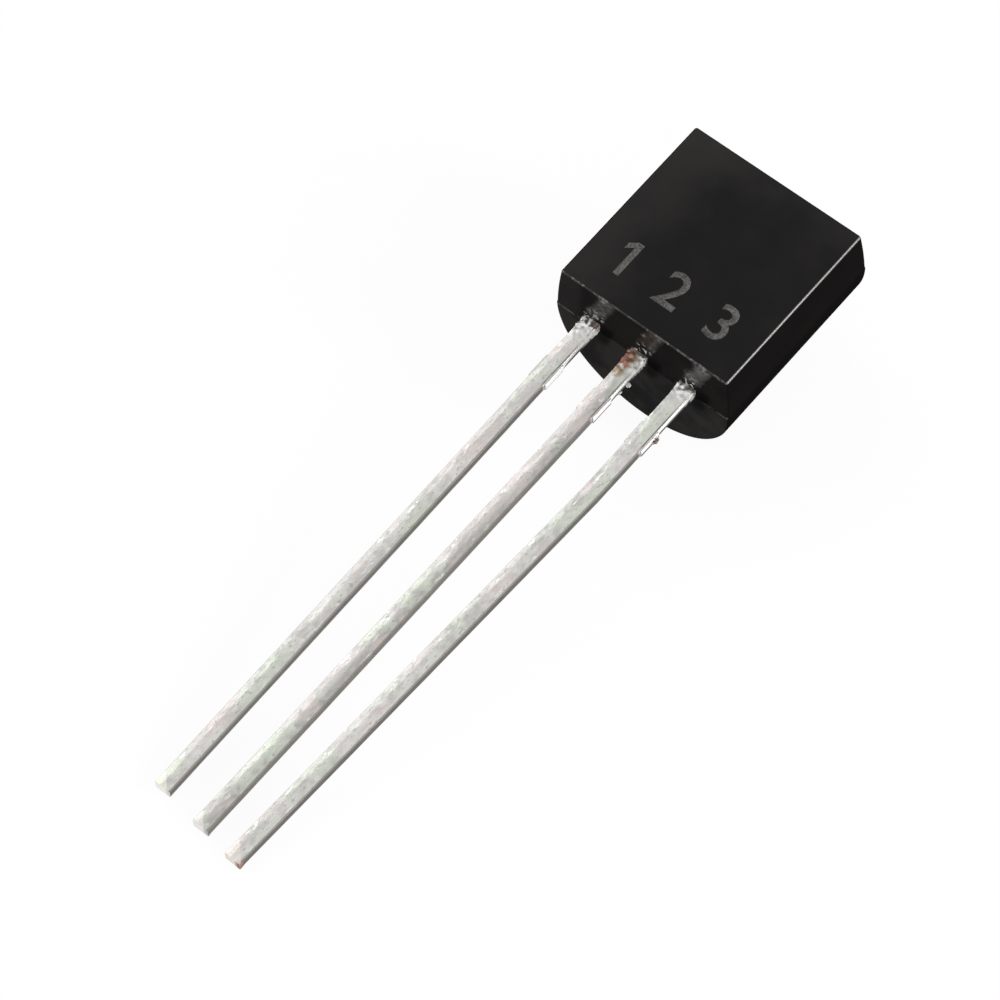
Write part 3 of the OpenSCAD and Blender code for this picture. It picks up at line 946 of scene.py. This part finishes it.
# Inner pieces: silicon with two bright bond pads, solder and gold wire
silicon = {
    "name": "polishedSilicon", "colours": ((0.16, 0.18, 0.24), (0.2, 0.22, 0.29)),
    "metallic": 0.0, "roughness": 0.22, "grain": 9.0,
    "pad": (0.8, 0.8, 0.82),
    "padHalf": 0.09,      # half the width of a pad
    "padShift": 0.15,     # of the pads from the middle of the chip, to the left and along it
}
solder = {
    "name": "softSolder", "colours": ((0.36, 0.36, 0.37), (0.52, 0.52, 0.53)),
    "metallic": 1.0, "roughness": 0.45, "grain": 12.0,
}
goldWire = {
    "name": "drawnGold", "colours": ((0.82, 0.56, 0.2), (0.92, 0.68, 0.3)),
    "metallic": 1.0, "roughness": 0.2, "grain": 40.0,
}


def innerFinish(looks, padsRound=None):
    paint = Finish(looks["name"])
    share = paint.band(paint.noise(paint.place, looks["grain"], 3.0, 0.6), 0.35, 0.65)
    colour = paint.mix(share, *looks["colours"])
    for side in () if padsRound is None else (-1, 1):
        fromMiddle = (paint.x - (padsRound.x - looks["padShift"])).size()
        alongChip = (paint.y - (padsRound.y + side * looks["padShift"])).size()
        pad = paint.fade(fromMiddle.larger(alongChip), looks["padHalf"] - 0.005, looks["padHalf"] + 0.005)
        colour = paint.mix(pad * paint.band(paint.nz, 0.8, 0.9), colour, looks["pad"])
    rough = looks["roughness"] + 0.12 * (share - 0.5)
    return paint.finished({"Base Color": colour, "Metallic": looks["metallic"], "Roughness": rough})


putInPlace(mouldedBody, ["moulded_body"], mouldingFinish())
for piece, one in zip(leadPieces, leads):
    putInPlace(piece, [one["node"]], tinFinish(one, **leadLooks[one["name"]]))
mark = markFinish()
for piece in pinNumbers:
    putInPlace(piece, [], mark)
chipLow, chipHigh = (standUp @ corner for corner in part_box("chip"))
gold = innerFinish(goldWire)
innerFinishes = {
    "chip": innerFinish(silicon, (chipLow + chipHigh) / 2),
    "chip_solder": innerFinish(solder),
    "left_wire": gold,
    "centre_wire": gold,
}
for node, finish in innerFinishes.items():
    mesh = frame["nodes"][node].data
    mesh.materials.clear()
    mesh.materials.append(finish)
print("materials made")


# Floor, world, lamps and camera
stage = {
    "floorSize": 1.0,
    "floorColour": (0.86, 0.86, 0.86),
    "floorWhite": 0.93,   # share of the floor's look that is plain white, so that only a soft shadow shows
    "worldFill": 0.7,
}
lamps = [
    {"name": "keyPanel", "toward": (-0.74, 0.20, 0.64), "distance": 0.22, "size": (0.15, 0.15), "level": 1.75},
    {"name": "frontPanel", "toward": (-0.45, -0.72, 0.52), "distance": 0.24, "size": (0.10, 0.10), "level": 1.6},
    {"name": "edgeStrip", "toward": (0.86, 0.31, 0.40), "distance": 0.22, "size": (0.05, 0.12), "level": 15.0},
    {"name": "sidePanel", "toward": (0.85, -0.42, 0.32), "distance": 0.22, "size": (0.08, 0.08), "level": 8.0},
]
cameraSetup = {
    "aim": (-0.0000097, -0.0001742, 0.0020200),
    "distance": 0.10179,
    "azimuth": 34.1216,
    "elevation": 54.2328,
    "roll": 6.5442,
    "lens": 180,
    "sensor": 36,
}


def makeFloor():
    bpy.ops.mesh.primitive_plane_add(size=stage["floorSize"], location=(0, 0, 0))
    floor = named("floor")
    material = bpy.data.materials.new("floorWhite")
    nodes = Nodes(material)
    white = nodes.seenShare() * stage["floorWhite"]
    plain = nodes.node("ShaderNodeBsdfDiffuse", {}, {"Color": (*stage["floorColour"], 1)})
    glow = nodes.node("ShaderNodeEmission", {}, {})
    both = nodes.node("ShaderNodeMixShader", {}, {0: white, 1: plain, 2: glow})
    nodes.node("ShaderNodeOutputMaterial", {}, {"Surface": both})
    floor.data.materials.append(material)


def makeWorld():
    world = bpy.data.worlds.new("plainWorld")
    nodes = Nodes(world)
    levels = {"To Min": stage["worldFill"], "To Max": 1.0}
    level = nodes.node("ShaderNodeMapRange", {}, {"Value": nodes.seenShare(), **levels})
    sky = nodes.node("ShaderNodeBackground", {}, {"Color": (1, 1, 1, 1), "Strength": level})
    nodes.node("ShaderNodeOutputWorld", {}, {"Surface": sky})
    bpy.context.scene.world = world


def makeLamp(lamp):
    data = bpy.data.lights.new(lamp["name"], "AREA")
    data.shape = "RECTANGLE"
    data.size, data.size_y = lamp["size"]
    data.energy = lamp["level"] * math.pi * data.size * data.size_y
    light = bpy.data.objects.new(lamp["name"], data)
    bpy.context.scene.collection.objects.link(light)
    toward = Vector(lamp["toward"]).normalized()
    light.location = toward * lamp["distance"]
    light.rotation_euler = toward.to_track_quat("Z", "Y").to_euler()


def makeCamera():
    azimuth, elevation, roll = (math.radians(cameraSetup[key]) for key in ("azimuth", "elevation", "roll"))
    back = Vector((
        math.sin(azimuth) * math.cos(elevation), -math.cos(azimuth) * math.cos(elevation), math.sin(elevation),
    ))
    level = Vector((0, 0, 1)).cross(back).normalized()
    upright = back.cross(level)
    right = level * math.cos(roll) + upright * math.sin(roll)
    data = bpy.data.cameras.new("camera")
    data.lens = cameraSetup["lens"]
    data.sensor_width = cameraSetup["sensor"]
    data.clip_start, data.clip_end = 0.005, 5
    camera = bpy.data.objects.new("camera", data)
    bpy.context.scene.collection.objects.link(camera)
    turn = Matrix((right, back.cross(right), back)).transposed().to_4x4()
    camera.matrix_world = Matrix.Translation(Vector(cameraSetup["aim"]) + back * cameraSetup["distance"]) @ turn
    bpy.context.scene.camera = camera


makeFloor()
makeWorld()
for lamp in lamps:
    makeLamp(lamp)
makeCamera()
bpy.context.scene.view_settings.view_transform = "Standard"
print("stage set")
